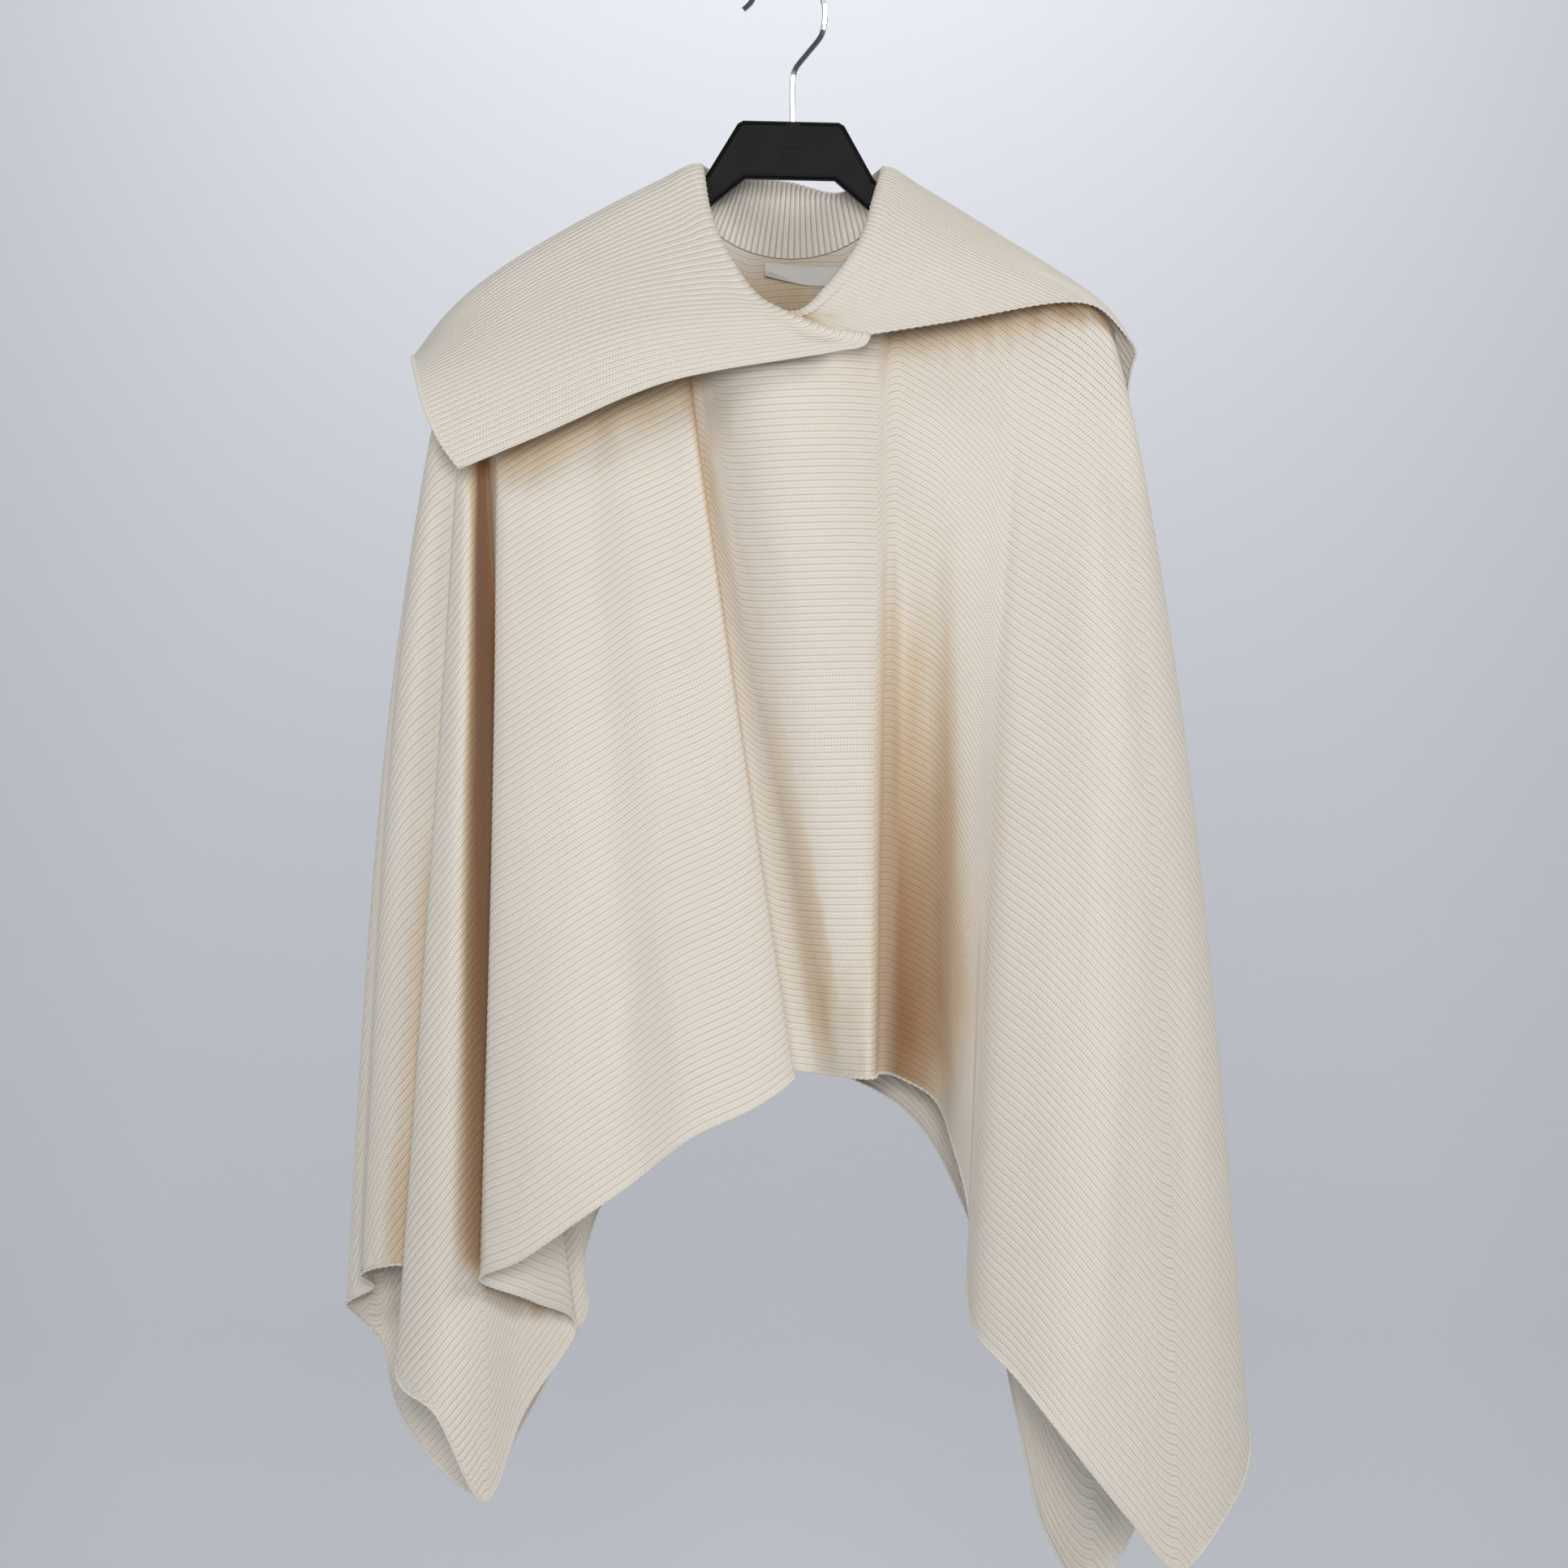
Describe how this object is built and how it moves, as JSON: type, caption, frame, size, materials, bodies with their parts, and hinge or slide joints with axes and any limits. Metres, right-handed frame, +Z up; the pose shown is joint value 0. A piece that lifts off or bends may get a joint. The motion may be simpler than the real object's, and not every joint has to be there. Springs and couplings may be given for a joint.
{
  "type": "poncho sweater on a clothes hanger",
  "caption": "Knitted poncho sweater with a wide folded rib collar and long dropped sides, hung on a moulded hanger with a wire hook.",
  "frame": {"origin": "inside top of the hook, where a rail holds the hanger", "axes": "+Z up, -Y towards the viewer of the front, +X to the viewer's right"},
  "size_m": [0.5773, 0.177, 1.0366],
  "materials": {
    "knit": "soft ribbed cream knit, matte",
    "tape": "plain woven label tape, bare",
    "hanger": "black moulded plastic, satin",
    "wire": "bright plated wire"
  },
  "bodies": {
    "root": {"front_panel": "knit", "back_panel": "knit", "collar": "knit", "neck_label": "tape", "hanger_body": "hanger", "hanger_hook": "wire"}
  },
  "joints": []
}
